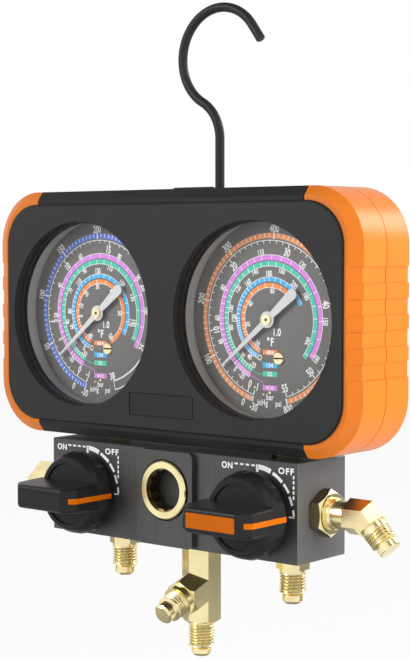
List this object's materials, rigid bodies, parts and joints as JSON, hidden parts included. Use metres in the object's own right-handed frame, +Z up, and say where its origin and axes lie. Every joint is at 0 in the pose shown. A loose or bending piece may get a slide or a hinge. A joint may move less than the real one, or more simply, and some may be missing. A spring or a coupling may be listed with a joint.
{
  "type": "refrigerant manifold gauge",
  "caption": "Refrigerant manifold gauge: aluminium valve block with quarter-turn knobs, sight glass and flare ports, dial gauges in a bumpered housing, folding hook.",
  "frame": {"origin": "seat of the hanging hook, the highest point inside its loop", "axes": "+Z up, dials and knobs face -Y, +X to the right of someone reading the dials"},
  "size_m": [0.2044, 0.0674, 0.2767],
  "materials": {
    "anodised_block": "dark grey anodised, fine vertical brushing",
    "yellow_brass": "bright machined",
    "clear_glass": "clear",
    "seal_ptfe": "white seal material",
    "seal_rubber": "matt black",
    "black_shell": "satin moulded",
    "orange_bumper": "satin moulded orange",
    "black_face_plate": "fine matt",
    "badge_grey": "smooth blank badge",
    "zinc_screw": "zinc plated",
    "gauge_brass": "stamped and turned",
    "bronze_tube": "drawn bronze tube",
    "black_steel": "black coated",
    "black_bezel": "smooth moulded",
    "grey_case": "moulded grey",
    "dial_grey": "matt grey print ground",
    "pointer_grey": "satin light grey",
    "knob_black": "satin moulded",
    "low_label_black": "smooth",
    "high_label_orange": "smooth",
    "knob_stripe_orange": "satin",
    "stem_steel": "turned",
    "ball_chrome": "polished"
  },
  "bodies": {
    "gauge_frame": {"manifold_block": "anodised_block", "sight_glass_ring": "yellow_brass", "sight_glass_window": "clear_glass", "sight_glass_seal": "seal_rubber", "low_port_fitting": "yellow_brass", "high_port_fitting": "yellow_brass", "centre_tee": "yellow_brass", "elbow_nuts": "yellow_brass", "left_hose_elbow": "yellow_brass", "right_hose_elbow": "yellow_brass", "valve_seats": "seal_ptfe", "gland_nuts": "yellow_brass", "stem_packings": "seal_ptfe", "front_shell": "black_shell", "rear_shell": "black_shell", "front_left_bumper": "orange_bumper", "front_right_bumper": "orange_bumper", "rear_left_bumper": "orange_bumper", "rear_right_bumper": "orange_bumper", "face_plate": "black_face_plate", "blank_badge": "badge_grey", "shell_screws": "zinc_screw", "adjusting_screws": "gauge_brass", "hook_bracket": "black_steel", "bracket_screws": "zinc_screw", "low_gauge_bezel": "black_bezel", "low_gauge_lens": "clear_glass", "low_gauge_case": "grey_case", "low_dial": "dial_grey", "low_gauge_stem": "yellow_brass", "low_pressure_tube": "bronze_tube", "low_movement_frame": "gauge_brass", "high_gauge_bezel": "black_bezel", "high_gauge_lens": "clear_glass", "high_gauge_case": "grey_case", "high_dial": "dial_grey", "high_gauge_stem": "yellow_brass", "high_pressure_tube": "bronze_tube", "high_movement_frame": "gauge_brass"},
    "hook": {"hook_rod": "black_steel"},
    "low_valve": {"low_knob": "knob_black", "low_knob_label": "low_label_black", "low_knob_stripe": "knob_stripe_orange", "low_knob_screw": "zinc_screw", "low_valve_stem": "stem_steel", "low_valve_ball": "ball_chrome"},
    "low_sector": {"low_sector_gear": "gauge_brass"},
    "low_link": {"low_link": "gauge_brass"},
    "low_pointer": {"low_pointer": "pointer_grey", "low_pinion": "gauge_brass"},
    "high_valve": {"high_knob": "knob_black", "high_knob_label": "high_label_orange", "high_knob_stripe": "knob_stripe_orange", "high_knob_screw": "zinc_screw", "high_valve_stem": "stem_steel", "high_valve_ball": "ball_chrome"},
    "high_sector": {"high_sector_gear": "gauge_brass"},
    "high_link": {"high_link": "gauge_brass"},
    "high_pointer": {"high_pointer": "pointer_grey", "high_pinion": "gauge_brass"}
  },
  "joints": [
    {"name": "hook_fold", "type": "hinge", "parent": "gauge_frame", "child": "hook", "pos_m": [-0.0145, 0, -0.0773], "axis": [-1, 0, 0], "range_deg": [0, 178]},
    {"name": "low_valve_turn", "type": "hinge", "parent": "gauge_frame", "child": "low_valve", "pos_m": [-0.0463, -0.0384, -0.2045], "axis": [0, -1, 0], "range_deg": [0, 90]},
    {"name": "low_sector_turn", "type": "hinge", "parent": "gauge_frame", "child": "low_sector", "pos_m": [-0.05731, -0.0214, -0.14363], "axis": [0, -1, 0], "range_deg": [-3.6, 26.3], "stiffness_Nm_per_rad": 0.02},
    {"name": "low_link_turn", "type": "hinge", "parent": "low_sector", "child": "low_link", "pos_m": [-0.06018, -0.0204, -0.14772], "axis": [0, -1, 0], "range_deg": [-26.4, 3.7]},
    {"name": "low_pointer_turn", "type": "hinge", "parent": "gauge_frame", "child": "low_pointer", "pos_m": [-0.0463, -0.0274, -0.1279], "axis": [0, 1, 0], "range_deg": [-40, 290]},
    {"name": "high_valve_turn", "type": "hinge", "parent": "gauge_frame", "child": "high_valve", "pos_m": [0.0463, -0.0384, -0.2045], "axis": [0, -1, 0], "range_deg": [0, 90]},
    {"name": "high_sector_turn", "type": "hinge", "parent": "gauge_frame", "child": "high_sector", "pos_m": [0.03529, -0.0214, -0.14363], "axis": [0, -1, 0], "range_deg": [-3.6, 26.3], "stiffness_Nm_per_rad": 0.02},
    {"name": "high_link_turn", "type": "hinge", "parent": "high_sector", "child": "high_link", "pos_m": [0.03242, -0.0204, -0.14772], "axis": [0, -1, 0], "range_deg": [-26.4, 3.7]},
    {"name": "high_pointer_turn", "type": "hinge", "parent": "gauge_frame", "child": "high_pointer", "pos_m": [0.0463, -0.0274, -0.1279], "axis": [0, 1, 0], "range_deg": [-40, 290]}
  ],
  "couplings": [
    {"joint": "low_pointer_turn", "follows": "low_sector_turn", "ratio": 11},
    {"joint": "low_link_turn", "follows": "low_sector_turn", "ratio": -1},
    {"joint": "high_pointer_turn", "follows": "high_sector_turn", "ratio": 11},
    {"joint": "high_link_turn", "follows": "high_sector_turn", "ratio": -1}
  ]
}
